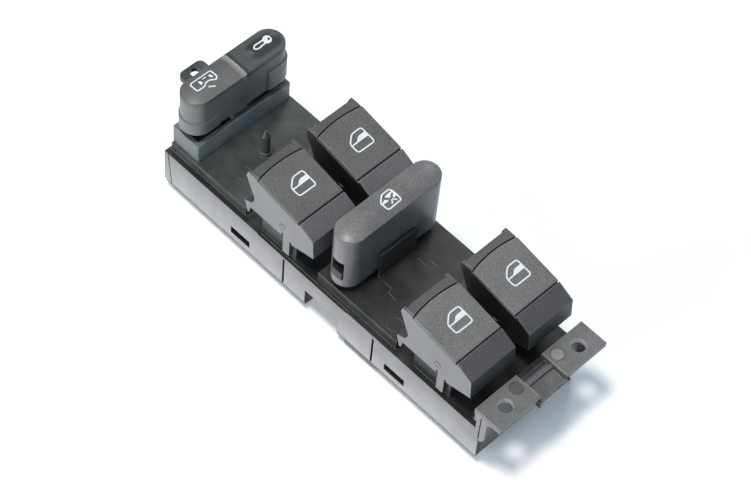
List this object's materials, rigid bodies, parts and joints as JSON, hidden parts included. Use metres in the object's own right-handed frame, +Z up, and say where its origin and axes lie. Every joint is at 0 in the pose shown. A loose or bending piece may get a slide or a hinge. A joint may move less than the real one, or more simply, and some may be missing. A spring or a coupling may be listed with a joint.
{
  "type": "power window switch",
  "caption": "Driver's door switch panel for a vehicle: tilting window rockers, a window lockout button and a door lock rocker on a clip-in housing with a screw flange.",
  "frame": {"origin": "under the middle of the panel's overall length and width, on the surface that its feet and socket stand on", "axes": "+X along the panel from the locating lug to the two-hole flange, +Y across it to the right-hand side, +Z up through the rockers"},
  "size_m": [0.189, 0.0536, 0.0576],
  "materials": {
    "housing": "moulded black plastic with a faint sheen",
    "cover": "moulded black plastic",
    "rocker": "soft satin black with white printed symbols",
    "pad": "fine grained soft-touch black",
    "slider": "natural low-friction plastic",
    "light_guide": "clear moulded plastic",
    "board": "green lacquered glass-fibre board",
    "contacts": "plated square pins",
    "latch": "moulded dark plastic",
    "lamps": "pale lamp bodies",
    "spring_steel": "bright spring steel"
  },
  "bodies": {
    "housing": {"upper_housing": "housing", "lower_cover": "cover", "circuit_board": "board", "connector_pins": "contacts", "latch_switch": "latch", "indicator_lamps": "lamps", "lockout_spring": "spring_steel", "lock_centring_spring": "spring_steel", "lockout_light_guide": "light_guide", "lock_light_guide": "light_guide", "front_left_centring_spring": "spring_steel", "front_left_light_guide": "light_guide", "front_right_centring_spring": "spring_steel", "front_right_light_guide": "light_guide", "rear_left_centring_spring": "spring_steel", "rear_left_light_guide": "light_guide", "rear_right_centring_spring": "spring_steel", "rear_right_light_guide": "light_guide"},
    "front_left_switch": {"front_left_rocker": "rocker", "front_left_pad": "pad"},
    "front_left_carriage": {"front_left_slider": "slider"},
    "front_right_switch": {"front_right_rocker": "rocker", "front_right_pad": "pad"},
    "front_right_carriage": {"front_right_slider": "slider"},
    "rear_left_switch": {"rear_left_rocker": "rocker", "rear_left_pad": "pad"},
    "rear_left_carriage": {"rear_left_slider": "slider"},
    "rear_right_switch": {"rear_right_rocker": "rocker", "rear_right_pad": "pad"},
    "rear_right_carriage": {"rear_right_slider": "slider"},
    "lock_switch": {"lock_rocker": "rocker"},
    "lock_carriage": {"lock_slider": "slider"},
    "lockout_switch": {"lockout_button": "rocker", "lockout_stem": "slider"}
  },
  "joints": [
    {"name": "front_left_tilt", "type": "hinge", "parent": "housing", "child": "front_left_switch", "pos_m": [-0.0165, -0.0145, 0.0365], "axis": [0, 1, 0], "range_deg": [-7, 7], "stiffness_Nm_per_rad": 0.3, "deforming": ["front_left_centring_spring"]},
    {"name": "front_left_carriage_slide", "type": "slide", "parent": "housing", "child": "front_left_carriage", "axis": [1, 0, 0], "range_m": [-0.0025, 0.0025]},
    {"name": "front_right_tilt", "type": "hinge", "parent": "housing", "child": "front_right_switch", "pos_m": [-0.0165, 0.0145, 0.0365], "axis": [0, 1, 0], "range_deg": [-7, 7], "stiffness_Nm_per_rad": 0.3, "deforming": ["front_right_centring_spring"]},
    {"name": "front_right_carriage_slide", "type": "slide", "parent": "housing", "child": "front_right_carriage", "axis": [1, 0, 0], "range_m": [-0.0025, 0.0025]},
    {"name": "rear_left_tilt", "type": "hinge", "parent": "housing", "child": "rear_left_switch", "pos_m": [0.0614, -0.0145, 0.0365], "axis": [0, 1, 0], "range_deg": [-7, 7], "stiffness_Nm_per_rad": 0.3, "deforming": ["rear_left_centring_spring"]},
    {"name": "rear_left_carriage_slide", "type": "slide", "parent": "housing", "child": "rear_left_carriage", "axis": [1, 0, 0], "range_m": [-0.0025, 0.0025]},
    {"name": "rear_right_tilt", "type": "hinge", "parent": "housing", "child": "rear_right_switch", "pos_m": [0.0614, 0.0145, 0.0365], "axis": [0, 1, 0], "range_deg": [-7, 7], "stiffness_Nm_per_rad": 0.3, "deforming": ["rear_right_centring_spring"]},
    {"name": "rear_right_carriage_slide", "type": "slide", "parent": "housing", "child": "rear_right_carriage", "axis": [1, 0, 0], "range_m": [-0.0025, 0.0025]},
    {"name": "lock_tilt", "type": "hinge", "parent": "housing", "child": "lock_switch", "pos_m": [-0.0707, 0, 0.0431], "axis": [1, 0, 0], "range_deg": [-5, 5], "stiffness_Nm_per_rad": 0.3, "deforming": ["lock_centring_spring"]},
    {"name": "lock_carriage_slide", "type": "slide", "parent": "housing", "child": "lock_carriage", "axis": [0, 1, 0], "range_m": [-0.0025, 0.0025]},
    {"name": "lockout_press", "type": "slide", "parent": "housing", "child": "lockout_switch", "axis": [0, 0, -1], "range_m": [0, 0.0025], "stiffness_N_per_m": 600, "springref_m": -0.002, "deforming": ["lockout_spring"]}
  ],
  "couplings": [
    {"joint": "front_left_carriage_slide", "follows": "front_left_tilt", "m_per_rad": -0.0194},
    {"joint": "front_right_carriage_slide", "follows": "front_right_tilt", "m_per_rad": -0.0194},
    {"joint": "rear_left_carriage_slide", "follows": "rear_left_tilt", "m_per_rad": -0.0194},
    {"joint": "rear_right_carriage_slide", "follows": "rear_right_tilt", "m_per_rad": -0.0194},
    {"joint": "lock_carriage_slide", "follows": "lock_tilt", "m_per_rad": 0.026}
  ]
}
